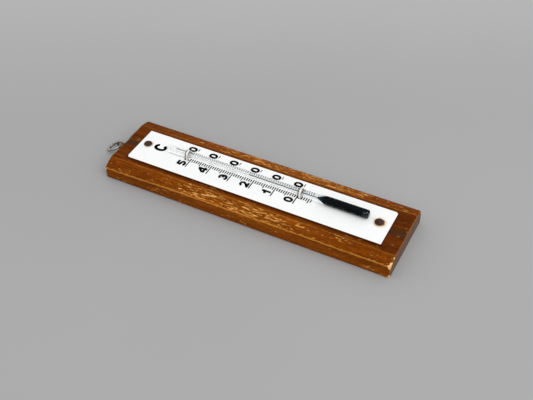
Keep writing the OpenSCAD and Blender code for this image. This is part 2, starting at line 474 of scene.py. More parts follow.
def makeLamps():
    world = bpy.data.worlds.new("studio")
    scene.world = world
    world.use_nodes = True
    current["tree"] = world.node_tree
    path = addNode("LightPath", {}, None)
    seen = larger(path["Is Camera Ray"], path["Is Glossy Ray"])
    light = studio["skyLight"]
    strength = seen * (studio["skySeen"] - light) + light
    strength = strength + path["Is Transmission Ray"] * (studio["skyThrough"] - light)
    background = world.node_tree.nodes["Background"]
    feed(background, "Color", (1, 1, 1, 1))
    feed(background, "Strength", strength)

    lamp = bpy.data.lights.new("keyLamp", "AREA")
    lamp.shape = "DISK"
    lamp.size = studio["keySize"]
    lamp.energy = studio["keyPower"]
    key = bpy.data.objects.new("keyLamp", lamp)
    key.location = studio["keyPlace"]
    key.rotation_euler = Vector(studio["keyPlace"]).to_track_quat("Z", "Y").to_euler()
    scene.collection.objects.link(key)


def makeFloor():
    reach = studio["floorReach"] / mm
    z = -studio["floorBelow"]
    corners = [(-reach, -reach, z), (reach, -reach, z), (reach, reach, z), (-reach, reach, z)]
    floor = meshPiece("floor", corners, [(0, 1, 2, 3)], smooth=False)
    where = startMaterial("floorPaper")
    paper = mix(noiseAt(where, 0.004), *studio["paper"])
    # painted light: the paper is painted brighter further behind the thermometer
    x, y, _ = splitXyz(where)
    paper = mix(ramp(x * 0.88 + y * 0.47, 70.0, 260.0), paper, studio["paperFar"])
    floor.data.materials.append(endMaterial(paper, 0.9, 0.1))


makeCamera()
makeLamps()
makeFloor()
scene.view_settings.view_transform = "Standard"
print("camera, lamps and floor are ready")


# Wooden board

board = {
    "bevelWidth": 7.0,
    "bevelDrop": 2.0,
    "leftDrop": 1.3,         # how much lower the left arris runs towards the ring
    "leftFrom": 20.0,
    "crown": 0.2,
    "arrisRadius": 1.2,
    "backChamfer": 0.5,
    "grooveHalf": 2.7,
    "grooveDepth": 0.45,
    "endRounding": 0.45,
    "step": 0.5,
    "sideSteps": 14,
    "flatSteps": 22,
    "grooveSteps": 16,
    "waviness": 0.07,
    "nicksPerEdge": 30,
    "nicksMiddle": -15.0,    # y at which they lie thickest
    "nicksPerEnd": 16,
    "seed": 7,
    # knocked corners and edges: place, radius and depth
    "chips": [
        ((-23.2, -89.9, 8.3), 2.0, 0.7), ((-21.4, -90.0, 9.2), 1.3, 0.4),
        ((-23.5, -89.9, 1.0), 1.3, 0.4), ((23.3, -89.9, 8.4), 1.2, 0.4),
        ((-18.2, -90.0, 10.6), 0.8, 0.2), ((-23.4, 89.9, 6.6), 0.9, 0.3),
    ],
}


def boardSection(half, top, drop):
    # right half of the outline: the side from the back up, then the face from the arris inward
    width, crown = board["bevelWidth"], board["crown"]
    chord = hypot(width, drop)
    crownRadius = chord * chord / (8 * crown) + crown / 2
    slope = atan2(drop, width)
    opening = degrees(asin(chord / 2 / crownRadius))
    back = crownRadius - crown
    centreX = half - width / 2 - back * sin(slope)
    centreZ = top - drop / 2 - back * cos(slope)
    radius = board["arrisRadius"]
    arrisX = half - radius
    arrisZ = centreZ + sqrt((crownRadius - radius) ** 2 - (arrisX - centreX) ** 2)
    turn = degrees(atan2(arrisZ - centreZ, arrisX - centreX))
    chamfer = board["backChamfer"]
    side = [(half - chamfer, 0.0), (half, chamfer)]
    side += [(half, z) for z in spread(chamfer, arrisZ, board["sideSteps"])[:-1]]
    side += arc(arrisX, arrisZ, radius, 0, turn, 8)
    face = arc(centreX, centreZ, crownRadius, turn, 90 - degrees(slope) + opening, 14)
    rim = board["grooveHalf"] + 0.4
    face += [(x, top) for x in spread(face[-1][0], rim, board["flatSteps"])]
    # the groove has soft sides
    face += [(x, top - board["grooveDepth"] * smoothStep(rim, rim - 1.4, x))
             for x in spread(rim, 0.0, board["grooveSteps"])]
    return side, face


def boardRing(half, top, y):
    # whole outline, anticlockwise from the left end of the back
    side, face = boardSection(half, top, board["bevelDrop"])
    lean = board["leftDrop"] * smoothStep(board["leftFrom"], -boxMm("backboard")[0].y, y)
    leftSide, leftFace = boardSection(half, top, board["bevelDrop"] + lean)
    count = 2 * (len(face) - 1)
    span = half - board["backChamfer"]
    ring = [(-span + 2 * span * i / count, 0.0) for i in range(count)]
    ring += side[:-1] + face
    ring += [(-x, z) for x, z in reversed(leftFace[:-1])]
    ring += [(-x, z) for x, z in reversed(leftSide[1:-1])]
    return ring, count, len(side) - 1


def inset(ring, distance):
    # the ring drawn in along its own normals
    moved = []
    for i, (x, z) in enumerate(ring):
        before, after = ring[i - 1], ring[(i + 1) % len(ring)]
        alongX, alongZ = after[0] - before[0], after[1] - before[1]
        length = hypot(alongX, alongZ)
        moved.append((x - distance * alongZ / length, z + distance * alongX / length))
    return moved


def coverEnd(points, faces, ring, across, upward, base, y, facing):
    # fills an end with a grid of quads drawn between the four sides of the ring
    bottom = ring[:across + 1]
    right = ring[across:across + upward + 1]
    upper = list(reversed(ring[across + upward:2 * across + upward + 1]))
    left = [ring[0]] + list(reversed(ring[2 * across + upward:]))
    number = {}
    for i in range(across + 1):
        number[i, 0] = base + i
        number[i, upward] = base + 2 * across + upward - i
    for j in range(1, upward):
        number[across, j] = base + across + j
        number[0, j] = base + len(ring) - j
    for i in range(1, across):
        for j in range(1, upward):
            u, v = i / across, j / upward
            spot = []
            for axis in (0, 1):
                edges = ((1 - v) * bottom[i][axis] + v * upper[i][axis]
                         + (1 - u) * left[j][axis] + u * right[j][axis])
                corners = ((1 - u) * (1 - v) * bottom[0][axis] + u * (1 - v) * bottom[-1][axis]
                           + (1 - u) * v * upper[0][axis] + u * v * upper[-1][axis])
                spot.append(edges - corners)
            number[i, j] = len(points)
            points.append((spot[0], y, spot[1]))
    for i in range(across):
        for j in range(upward):
            quad = (number[i, j], number[i + 1, j], number[i + 1, j + 1], number[i, j + 1])
            faces.append(quad if facing < 0 else quad[::-1])


def edgeNicks(half, low, high, top):
    # small knocks strewn along the upper edges and both ends: place, radius and depth
    dice = random.Random(board["seed"])
    nicks = []

    def knock(spot, radii, depths):
        nicks.append((spot, dice.uniform(*radii), dice.uniform(*depths)))

    for side in (-1, 1):
        for _ in range(board["nicksPerEdge"]):
            y = dice.triangular(low, high, board["nicksMiddle"])
            knock((side * (half - 0.35), y, top - board["bevelDrop"] - 0.2), (0.6, 1.6), (0.04, 0.16))
        for _ in range(board["nicksPerEdge"] // 2):
            y = dice.triangular(low, high, board["nicksMiddle"])
            knock((side * (half - board["bevelWidth"]), y, top), (0.5, 1.2), (0.03, 0.09))
            knock((side * half, dice.uniform(low, high), 0.3), (0.5, 1.2), (0.04, 0.12))
    for y in (low, high):
        for _ in range(board["nicksPerEnd"]):
            x = dice.uniform(-half, half)
            z = top - board["bevelDrop"] * smoothStep(half - board["bevelWidth"], half, abs(x))
            knock((x, y, z), (0.4, 1.1), (0.05, 0.2))
    return nicks


def wearBoard(piece, half, low, high, top):
    # hollows the knocked places, adds a slight waviness and keeps where the wood is bare
    mesh = piece.data
    count = len(mesh.vertices)
    places = np.zeros(count * 3)
    mesh.vertices.foreach_get("co", places)
    places = places.reshape(-1, 3) / mm
    normals = np.array([v.normal for v in mesh.vertices])
    ripple = np.array([noise.noise(Vector((p[0] * 0.5, p[1] * 0.09, p[2] * 0.5))) for p in places])
    ragged = np.array([noise.noise(Vector(p) * 1.4) for p in places])
    onFlat = (np.abs(places[:, 0]) < half - board["bevelWidth"] - 1) & (places[:, 2] > 1)
    atEnd = np.abs(places[:, 1] - (low + high) / 2) > (high - low) / 2 - 1
    onBack = places[:, 2] < 0.3
    depth = board["waviness"] * np.clip(0.5 + ripple, 0, 1)
    depth[onFlat | atEnd | onBack] = 0
    inGroove = (np.abs(places[:, 0]) < board["grooveHalf"]) & (places[:, 2] > 1)
    depth[inGroove] += 0.1 * np.clip(ragged, 0, 1)[inGroove]
    bare = np.zeros(count)
    knocks = [(chip, 1.0) for chip in board["chips"]]
    knocks += [(nick, 0.0) for nick in edgeNicks(half, low, high, top)]
    for (centre, radius, hollow), paleness in knocks:
        reach = np.linalg.norm(places - np.array(centre), axis=1) / radius * (1 + 0.4 * ragged)
        inside = np.clip(1 - reach * reach, 0, 1)
        depth = np.maximum(depth, hollow * np.sqrt(inside))
        bare = np.maximum(bare, np.clip(inside * 2.2, 0, 1) * paleness)
    moved = (places - normals * depth[:, None]) * mm
    mesh.vertices.foreach_set("co", moved.reshape(-1))
    mesh.attributes.new("bare", "FLOAT", "POINT").data.foreach_set("value", bare.astype(np.float32))
    mesh.update()


def makeBoard():
    lowCorner, highCorner = boxMm("backboard")
    half, high, top = highCorner
    low = lowCorner.y
    rounding = board["endRounding"]
    angles = [radians(a) for a in (90, 72, 54, 36, 18)]
    ends = [(rounding * (1 - sin(a)), rounding * (1 - cos(a))) for a in angles]
    span = high - low - 2 * rounding
    steps = int(span / board["step"])
    stations = [(low + inward, drawn) for inward, drawn in ends]
    stations += [(low + rounding + span * i / steps, 0.0) for i in range(steps + 1)]
    stations += [(high - inward, drawn) for inward, drawn in reversed(ends)]
    points, faces = [], []
    for y, drawn in stations:
        ring, across, upward = boardRing(half, top, y)
        points += [(x, y, z) for x, z in inset(ring, drawn)]
    size = len(ring)
    for s in range(len(stations) - 1):
        addRing(faces, (s + 1) * size, s * size, size)
    for base, y, facing in ((0, low, -1), ((len(stations) - 1) * size, high, 1)):
        ring = boardRing(half, top, y)[0]
        coverEnd(points, faces, inset(ring, rounding), across, upward, base, y, facing)
    piece = meshPiece("wooden_board", points, faces)
    wearBoard(piece, half, low, high, top)
    return piece


boardFinish = {
    "flat": tone(110, 52, 3),
    # dark stain, also the colour of the painted shade beside the plate
    "flatStainAndShade": tone(84, 36, 1),
    "bevelEnds": tone(114, 54, 0),
    "bevelMiddle": tone(127, 64, 2),
    "side": tone(126, 62, 0),
    "fleck": tone(216, 154, 76),
    "fleckPale": tone(246, 206, 144),
    "arris": tone(192, 126, 48),
    "bare": tone(240, 196, 138),
    "grooveDirtAndShade": tone(58, 49, 35),
    "gluePatch": tone(138, 96, 50),
    "endGrain": tone(130, 101, 84),
    "endRings": tone(98, 72, 60),
    "back": tone(150, 103, 58),
    "backDark": tone(104, 66, 34),
    "leftWear": (5.0, 62.0),     # middle and half length of the rubbed stretch
    "rightWear": (-15.0, 74.0),
    "wearFade": 46.0,
    "glueSpots": ((3.6, 83.8, 1.8), (-2.6, -86.0, 1.3)),   # x, y and size
    "pith": (9.0, -34.0),        # middle of the year rings, behind the board
    # rubbed edges, the line between side and bevel also a painted highlight: width, breakup and strength
    "rubbedAndLitEdges": (
        (0.42, 0.4, 0.75), (0.6, 1.6, 0.8),     # between side and bevel, a line of wear and painted highlight, and a broken band
        (0.4, 1.2, 0.3),                         # between bevel and flat
        (0.4, 0.9, 0.35),                        # round the back
        (0.42, 0.9, 0.6),                        # at both ends
    ),
    "lowEndDark": 0.75,
    "highEndDark": 0.4,
}


def lineDistance(across, height, lineAcross, lineHeight):
    # distance from a line that runs along the board
    first, second = across - lineAcross, height - lineHeight
    return maths("SQRT", first * first + second * second)


def bareMask(where):
    knocked = addNode("Attribute", {}, "Fac", attribute_name="bare")
    return ramp(knocked + (noiseAt(where, 1.6, 4.0) - 0.5) * 0.9, 0.35, 0.6)


def varnishedWood():
    finish = boardFinish
    where = startMaterial("varnishedWood")
    half, reach, top = boxMm("backboard")[1]
    plateLow, plateHigh = boxMm("scale_plate")
    ridge = half - board["bevelWidth"]
    x, y, z = splitXyz(where)
    across = abs(x)
    onLeft = maths("LESS_THAN", x, 0.0)
    # the left arris runs lower towards the ring
    lean = ramp(y, board["leftFrom"], reach, 0.0, board["leftDrop"]) * onLeft
    arrisHeight = top - board["bevelDrop"] - 0.15 - lean
    grain = place(woodGrain, where, Wander=3.0)
    blur = (noiseAt(stretch(where, (0.4, 0.06, 0.4))) - 0.5) * 1.4

    # regions: flat middle, sides and the groove
    onFlat = ramp(across + blur * 0.4, ridge + 0.3, ridge - 0.3)
    onSide = ramp(z - arrisHeight, -0.2, -1.0)
    inGroove = ramp(across + blur, board["grooveHalf"] + 0.5, board["grooveHalf"] - 0.9)
    inGroove = inGroove * ramp(z, top - 1.5, top - 1.0)
    midY = (plateLow.y + plateHigh.y) / 2
    fromPlate = larger(across - plateHigh.x, abs(y - midY) - (plateHigh.y - midY))
    # painted shade on the flat along the plate's outline, where the plate shades the wood, together with
    # stain pooled there
    stainAndShadeByPlate = ramp(fromPlate + blur, 2.6, 0.2)
    # the left edge is rubbed above the middle, the right edge longer and lower down
    wearMiddle, wearEnd = (mixValue(onLeft, finish["rightWear"][i], finish["leftWear"][i]) for i in (0, 1))
    handled = ramp(wearEnd - (abs(y - wearMiddle) + blur * 14.0), 0.0, finish["wearFade"])

    # stain, grain and painted shade beside the plate
    bevel = mix(handled, finish["bevelEnds"], finish["bevelMiddle"])
    ends = larger(ramp(y, plateLow.y + 1, plateLow.y - 2, 0.0, finish["lowEndDark"]),
                  ramp(y, plateHigh.y - 1, plateHigh.y + 2, 0.0, finish["highEndDark"]))
    flat = mix(larger(stainAndShadeByPlate, ends), finish["flat"], finish["flatStainAndShade"])
    colour = mix(onSide, mix(onFlat, bevel, flat), finish["side"])
    level = ramp(grain["Tone"], 0.3, 0.7) * 0.4 + ramp(grain["Streak"], 0.38, 0.62) * 0.75
    colour = tint(tint(colour, level + 0.48), 1.0 - grain["Pore"] * 0.5)
    # the groove is painted dark: dirt in it, and painted shade for the recess
    grooveTone = mix(ramp(grain["Streak"], 0.42, 0.58), finish["flatStainAndShade"], finish["grooveDirtAndShade"])
    colour = mix(inGroove * 0.93, colour, grooveTone)
    for spotX, spotY, size in finish["glueSpots"]:
        glue = ramp(distanceTo(where, (spotX, spotY, top)) + blur, size, size * 0.2)
        colour = mix(glue * 0.55, colour, finish["gluePatch"])

    # rubbed places: flecks along the grain, thickest on the bevels at mid-length
    onBevel = (1.0 - onFlat * 0.75) * (1.0 - onSide)
    flecks = place(grainFlecks, where, Amount=(handled * 0.95 + 0.05) * onBevel)
    rubbed = mix(flecks["Pale"], finish["fleck"], finish["fleckPale"])
    colour = mix(flecks["Haze"] * 0.06, colour, finish["arris"])
    markMask = flecks["Mask"] * (0.95 - onFlat * 0.6)
    colour = mix(markMask, colour, rubbed)
    # edges that hands reach are rubbed barer
    edgeRub = handled * 0.22 + 0.84
    # the arris line, just below the rounded edge, is wear and a painted highlight
    arris = lineDistance(across, z, half - 0.15, arrisHeight - 0.3)
    distances = (arris, arris, lineDistance(across, z, ridge, top), lineDistance(across, z, half, 0.3),
                 reach - abs(y))
    for distance, (width, breakup, strength) in zip(distances, finish["rubbedAndLitEdges"]):
        edge = place(edgeWear, where, Distance=distance, Width=width, Breakup=breakup, Scale=0.9)["Mask"]
        edge = edge * (edgeRub * strength)
        colour = mix(edge, colour, finish["arris"])
        markMask = larger(markMask, edge)
    bare = bareMask(where)
    markMask = larger(markMask, bare)
    colour = mix(bare, colour, finish["bare"])
    grime = place(softGrime, where, Scale=0.09, Amount=0.25)
    colour = mix(grime["Mask"], colour, finish["flatStainAndShade"])
    gloss = grain["Streak"] * 0.22 + 0.28 + markMask * 0.25
    return endMaterial(colour, gloss, 0.05, Normal=bump(grain["Height"] - markMask * 0.7, 0.4, 0.12))


def endGrainWood():
    finish = boardFinish
    where = startMaterial("endGrainWood")
    half, _, top = boxMm("backboard")[1]
    x, _, z = splitXyz(where)
    across = abs(x)
    pith = lineDistance(x, z, *finish["pith"])
    rings = ramp(maths("SINE", pith * 2.6 + noiseAt(where, 0.16) * 7.0), -0.2, 1.0)
    pores = noiseAt(where, 3.2, roughness=0.6)
    saw = noiseAt(stretch(where, (0.5, 1.0, 5.0)))
    colour = mix(rings, finish["endGrain"], finish["endRings"])
    colour = tint(colour, ramp(pores, 0.35, 0.65) * 0.4 + 0.62 + (saw - 0.5) * 0.5)
    # stain that ran over the upper and outer edges
    slope = board["bevelDrop"] / board["bevelWidth"]
    fall = larger(across - (half - board["bevelWidth"]), 0.0) * slope
    inward = smaller(top - z - fall, half - across)
    edge = place(edgeWear, where, Distance=inward, Width=0.75, Breakup=1.2, Scale=0.7)
    colour = mix(edge["Mask"] * 0.7, colour, finish["bevelEnds"])
    colour = mix(bareMask(where), colour, finish["bare"])
    return endMaterial(colour, pores * 0.3 + 0.55, 0.2, Normal=bump(saw * 0.8 + pores, 0.5, 0.15))


def rawBackWood():
    finish = boardFinish
    where = startMaterial("rawBackWood")
    half, reach, _ = boxMm("backboard")[1]
    x, y, _ = splitXyz(where)
    grain = place(woodGrain, where, Across=0.8, Along=1.2, Wander=5.0)
    scuffs = place(fineScratches, where, Scale=0.5, Amount=0.8)
    grime = place(softGrime, where, Scale=0.045, Amount=0.8)
    colour = mix(ramp(grain["Tone"], 0.3, 0.7), finish["back"], finish["backDark"])
    colour = tint(colour, ramp(grain["Streak"], 0.3, 0.7) * 0.45 + 0.72)
    colour = tint(colour, 1.0 - grain["Pore"] * 0.35)
    colour = mix(grime["Mask"] * 0.5, colour, finish["flat"])
    rim = smaller(half - abs(x), reach - abs(y))
    ran = place(edgeWear, where, Distance=rim, Width=2.4, Scale=0.35, Breakup=0.8)
    colour = mix(ran["Mask"] * 0.75, colour, finish["side"])
    colour = mix(scuffs["Mask"] * 0.5, colour, finish["bare"])
    colour = mix(bareMask(where), colour, finish["bare"])
    relief = grain["Height"] + scuffs["Height"] * 1.5
    return endMaterial(colour, grain["Streak"] * 0.2 + 0.62, 0.2, Normal=bump(relief, 0.5, 0.15))


def dressBoard(piece):
    # varnish on the face and sides, end grain at both ends, raw wood on the back
    for material in (varnishedWood(), endGrainWood(), rawBackWood()):
        piece.data.materials.append(material)
    endAt = boxMm("backboard")[1].y - 0.12
    for face in piece.data.polygons:
        if abs(face.center.y) / mm > endAt and abs(face.normal.y) > 0.6:
            face.material_index = 1
        elif face.normal.z < -0.9:
            face.material_index = 2


boardPiece = makeBoard()
dressBoard(boardPiece)
settle(boardPiece, None, "root", "stained_wood", "backboard")
print("board has", len(boardPiece.data.vertices), "points")


# White scale plate, with slots for the staples

stapleNames = ("upper_stem_staple", "lower_stem_staple")
nailNames = ("upper_plate_nail", "lower_plate_nail")

staple = {
    "thickness": 0.35,
    "pointLength": 2.0,
    "waist": 0.08,           # the strip is a little narrower over the stem
    "bright": tone(252, 250, 247),
    "dull": tone(236, 232, 227),
    # painted shade for the strip's edges
    "edge": tone(44, 38, 34),
    "brightOff": 0.22,       # how far the painted highlight stripe lies below the strip's middle
    "lean": 0.06,            # how far the bow's top may lie off the middle
    "legSteps": 24,
    "seed": 3,
}

plate = {
    "rounding": 0.12,
    "cornerRadii": (2.4, 0.6, 1.8, 0.6),   # upper left, upper right, lower right, lower left
    "nailHole": 1.05,
    "holeSides": 32,
    "slotGap": 0.15,
    "paint": tone(246, 247, 247),
    "edgeDirt": tone(196, 190, 178),
    # the sheet's edge: stain and painted shade
    "wall": tone(84, 40, 8),
    "varnishCreep": 0.42,    # stain on the face along the left edge
    "slotAndStemDark": tone(84, 76, 70),
    "slotRing": 0.75,        # how far the darkening reaches from a slot
    # darker bands by the stem, the one beside its near edge a painted shadow: where each rises and falls
    # across the plate and along it, and its strength
    "dustAndShade": [
        ((3.94, 4.06, 4.38, 4.5), (44.0, 50.0, 56.5, 57.5), 0.66),     # beneath the stem's upper end
        ((0.15, 0.65, 0.95, 1.45), (48.0, 50.5, 59.5, 61.5), 0.42),    # painted shadow beside its near edge
        ((3.1, 3.4, 4.9, 5.2), (-39.0, -36.0, 44.0, 48.0), 0.12),      # darker beneath its far half
    ],
    # stains round the nails: reach and strength
    "rustStains": (("upper_plate_nail", 0.75, 0.45), ("lower_plate_nail", 1.25, 0.95)),
    "halo": tone(208, 172, 96),
    "crust": tone(122, 84, 42),
}


def sheetWithHoles(outline, holes, low, high, rounding):
    # flat sheet with rounded edges; the outline runs anticlockwise, and so does each hole
    points, faces, flatFaces = [], [], []
    curve = [(rounding * (1 - cos(radians(a))), rounding * (1 - sin(radians(a))))
             for a in (0, 30, 60, 90)]
    levels = [(drawn, low + rise) for drawn, rise in reversed(curve)]
    levels += [(drawn, high - rise) for drawn, rise in curve]
    topLoops, topNumbers, bottomLoops, bottomNumbers = [], [], [], []
    for loop, grows in [(outline, 1)] + [(hole, -1) for hole in holes]:
        starts = []
        for drawn, z in levels:
            starts.append(len(points))
            points += [(x, y, z) for x, y in inset(loop, drawn * grows)]
        for first, second in zip(starts, starts[1:]):
            if grows > 0:
                addRing(faces, first, second, len(loop))
            else:
                addRing(faces, second, first, len(loop))
        for start, loops, numbers in ((starts[-1], topLoops, topNumbers),
                                      (starts[0], bottomLoops, bottomNumbers)):
            loops.append([Vector((points[start + i][0], points[start + i][1], 0)) for i in range(len(loop))])
            numbers += range(start, start + len(loop))
    for loops, numbers, upward in ((topLoops, topNumbers, True), (bottomLoops, bottomNumbers, False)):
        flat = [v for loop in loops for v in loop]
        for a, b, c in tessellate_polygon(loops):
            turn = (flat[b] - flat[a]).cross(flat[c] - flat[a]).z > 0
            corners = (a, b, c) if turn == upward else (a, c, b)
            flatFaces.append(tuple(numbers[k] for k in corners))
    return points, faces, flatFaces


def plateOutline(low, high):
    upperLeft, upperRight, lowerRight, lowerLeft = plate["cornerRadii"]
    outline = arc(high.x - upperRight, high.y - upperRight, upperRight, 0, 90, 8)
    outline += arc(low.x + upperLeft, high.y - upperLeft, upperLeft, 90, 180, 8)
    outline += arc(low.x + lowerLeft, low.y + lowerLeft, lowerLeft, 180, 270, 8)
    outline += arc(high.x - lowerRight, low.y + lowerRight, lowerRight, 270, 360, 8)
    return outline


def stapleSlots(nodeName):
    # outlines of the slots for both legs of a staple, from its box
    low, high = boxMm(nodeName)
    thick, gap = staple["thickness"], plate["slotGap"]
    slots = []
    for x in (low.x + thick / 2, high.x - thick / 2):
        reach = thick / 2 + gap
        slots.append([(x - reach, low.y - gap), (x + reach, low.y - gap),
                      (x + reach, high.y + gap), (x - reach, high.y + gap)])
    return slots


def whiteEnamel():
    where = startMaterial("whiteEnamel")
    low, high = boxMm("scale_plate")
    x, y, z = splitXyz(where)
    cloud = noiseAt(where, 0.06, 4.0)
    colour = mix(ramp(cloud, 0.3, 0.7), plate["paint"], tint(plate["paint"], 0.975))
    grime = place(softGrime, where, Scale=0.11, Amount=0.3)
    scuffs = place(fineScratches, where, Scale=0.6)
    colour = mix(grime["Mask"] * 0.12, colour, plate["edgeDirt"])
    colour = mix(grime["Speck"], colour, plate["crust"])
    midY = (low.y + high.y) / 2
    inward = smaller(high.x - abs(x), high.y - midY - abs(y - midY))
    rim = place(edgeWear, where, Distance=inward, Width=0.28, Breakup=0.9, Scale=0.6)
    colour = mix(rim["Mask"] * 0.2, colour, plate["edgeDirt"])
    wobble = (noiseAt(where, 0.5, 4.0) - 0.5) * 2.2
    for nodeName, reach, strength in plate["rustStains"]:
        nailLow, nailHigh = boxMm(nodeName)
        middle = centreMm(nodeName)
        head = (nailHigh.x - nailLow.x) / 2
        away = distanceTo(where, (middle.x - 0.3, middle.y - 0.35, high.z))
        halo = ramp(away + wobble, head + reach * 1.9, head + reach * 0.2)
        colour = mix(halo * (0.62 * strength), colour, plate["halo"])
        crust = ramp(away + wobble * 0.35, head + reach * 0.55, head + 0.1)
        colour = mix(crust * strength, colour, plate["crust"])
    # darker round the slots
    ring = plate["slotRing"]
    for nodeName in stapleNames:
        slotLow, slotHigh = boxMm(nodeName)
        alongSlot = (y - (slotLow.y + slotHigh.y) / 2) / ((slotHigh.y - slotLow.y) / 2 + ring)
        for footX in (slotLow.x + staple["thickness"] / 2, slotHigh.x - staple["thickness"] / 2):
            away = maths("SQRT", abs(alongSlot) ** 2.0 + abs((x - footX) / ring) ** 2.0)
            colour = mix(ramp(away, 1.15, 0.75) * 0.8, colour, plate["slotAndStemDark"])
    # darker bands by the stem; the one beside its near edge is a painted shadow
    for acrossBand, alongBand, strength in plate["dustAndShade"]:
        dustAndShade = band(x, *acrossBand) * band(y, *alongBand)
        colour = mix(dustAndShade * strength, colour, plate["slotAndStemDark"])
    # the sheet's edge is painted dark brown, partly stain and partly painted shade, and stain creeps onto the
    # face along the left edge
    wall = ramp(z, high.z - 0.03, high.z - 0.12)
    crept = ramp(x + wobble * 0.05, low.x + plate["varnishCreep"], low.x + plate["varnishCreep"] * 0.6)
    colour = mix(larger(wall, crept), colour, plate["wall"])
    relief = noiseAt(where, 0.35) + scuffs["Height"]
    rough = cloud * 0.16 + 0.26 + scuffs["Mask"] * 0.3
    return endMaterial(colour, rough, 0.3, Normal=bump(relief, 0.18, 0.05))


def makePlate():
    low, high = boxMm("scale_plate")
    steps = plate["holeSides"] - 1
    holes = [arc(*centreMm(name).xy, plate["nailHole"], 0, 360 * steps / (steps + 1), steps)
             for name in nailNames]
    for name in stapleNames:
        holes += stapleSlots(name)
    outline = plateOutline(low, high)
    points, faces, flatFaces = sheetWithHoles(outline, holes, low.z, high.z, plate["rounding"])
    piece = meshPiece("white_scale_plate", points, faces + flatFaces)
    for face in piece.data.polygons[len(faces):]:
        face.use_smooth = False
    settle(piece, whiteEnamel(), "root", "white_plate", "scale_plate")


makePlate()
print("plate is ready")


# Printed scale: degree lines, tens numbers and the unit letter

scale = {
    "lowest": -6,
    "highest": 50,
    "aboveNeck": 3.3,        # from the neck of the glass up to the lowest line
    "belowTip": 16.8,        # from the highest line up to the sealed tip
    "neckAbove": 30.8,       # from the end of the bulb up to the neck
    "degreeLine": 0.67,
    "tensLine": 0.68,
    "rightLine": 0.52,
    "linesTo": 1.6,
    "beneath": (3.0, 4.5),   # fainter lines beneath the stem
    "shortFrom": -0.95,
    "fiveFrom": -2.07,
    "tensFrom": -6.1,
    "rightFrom": 9.3,
    "rightTo": 11.6,
    "figureHeight": 5.6,
    "figureWidth": 4.25,
    "stroke": 1.5,
    "widerFour": 1.1,
    "aboveLine": 0.8,
    "tensLeft": -6.05,
    "zeroLeft": 7.45,
    "letterLow": (-0.65, 63.1),
    "letterSize": (6.0, 8.2),
    "letterStroke": 1.95,
    "inkHeight": 0.02,
    "ink": tone(6, 6, 7),
    "inkWorn": tone(34, 34, 38),
    "inkFaded": tone(160, 164, 163),
}


def oval(centreX, centreY, radiusX, radiusY, start, stop, steps=22, square=2.0):
    # stretch of an oval, angles in degrees; square above 2 fills its corners
    points = []
    for i in range(steps + 1):
        angle = radians(start + (stop - start) * i / steps)
        c, s = cos(angle), sin(angle)
        points.append((centreX + radiusX * copysign(abs(c) ** (2 / square), c),
                       centreY + radiusY * copysign(abs(s) ** (2 / square), s)))
    return points


def figureStrokes(figure, w, h, s):
    # centre lines of a figure's strokes in a box of width w and height h, for strokes s wide
    e = s / 2
    if figure == 0:
        return [oval(w / 2, h / 2, w / 2 - e, h / 2 - e, 0, 345, 23, 2.35)]
    if figure == 1:
        return [[(0.62 * w, 0), (0.62 * w, h)],
                [(0.62 * w, h - 0.7 * s), (0.42 * w, h - 1.35 * s), (0.16 * w, h - 1.7 * s)]]
    if figure == 2:
        bowl = oval(w / 2, h - w / 2 + e * 0.4, w / 2 - e, w / 2 - e, 170, -28)
        return [bowl + [(0.60 * w, 0.36 * h), (0.30 * w, 0.19 * h), (0.13 * w, 0.11 * h)],
                [(0.04 * w, e), (w * 0.98, e)]]
    if figure == 3:
        upper = oval(0.47 * w, h - e - 0.235 * h, 0.40 * w - e * 0.4, 0.235 * h, 155, -75)
        lower = oval(0.48 * w, e + 0.265 * h, 0.46 * w - e * 0.4, 0.265 * h, 75, -155)
        return [upper, [(0.36 * w, 0.535 * h), (0.55 * w, 0.535 * h)], lower]
    if figure == 4:
        return [[(0.70 * w, 0), (0.70 * w, h)], [(0.66 * w, h - 0.5 * e), (0.07 * w, 0.33 * h)],
                [(0.02 * w, 0.27 * h), (w, 0.27 * h)]]
    bowl = oval(0.46 * w, 0.315 * h + e * 0.2, w / 2 - e * 0.8, 0.315 * h - e * 0.8, 128, -152)
    return [[(0.22 * w, h - e), (0.93 * w, h - e)], [(0.27 * w, h), (0.19 * w, 0.47 * h)], bowl]


def strokeSlab(line, width, low, high, closed=False):
    # thin closed slab along a line in the plate's plane, with mitred bends
    count = len(line)
    points, faces = [], []
    for i, (x, y) in enumerate(line):
        before = line[i - 1] if closed or i else None
        after = line[(i + 1) % count] if closed or i < count - 1 else None
        directions = []
        for start, stop in ((before, (x, y)), ((x, y), after)):
            if start and stop:
                length = dist(start, stop)
                directions.append(((stop[0] - start[0]) / length, (stop[1] - start[1]) / length))
        alongX = sum(d[0] for d in directions)
        alongY = sum(d[1] for d in directions)
        length = hypot(alongX, alongY)
        sideX, sideY = -alongY / length, alongX / length
        mitre = max(0.5, abs(sideX * -directions[0][1] + sideY * directions[0][0]))
        half = width / 2 / mitre
        for z in (low, high):
            points.append((x + sideX * half, y + sideY * half, z))
            points.append((x - sideX * half, y - sideY * half, z))
    spans = count if closed else count - 1
    for i in range(spans):
        a, b = 4 * i, 4 * ((i + 1) % count)
        faces += [(a + 2, a + 3, b + 3, b + 2), (a + 1, a, b, b + 1),
                  (a, a + 2, b + 2, b), (a + 3, a + 1, b + 1, b + 3)]
    if not closed:
        last = 4 * (count - 1)
        faces += [(0, 1, 3, 2), (last + 1, last, last + 2, last + 3)]
    return points, faces


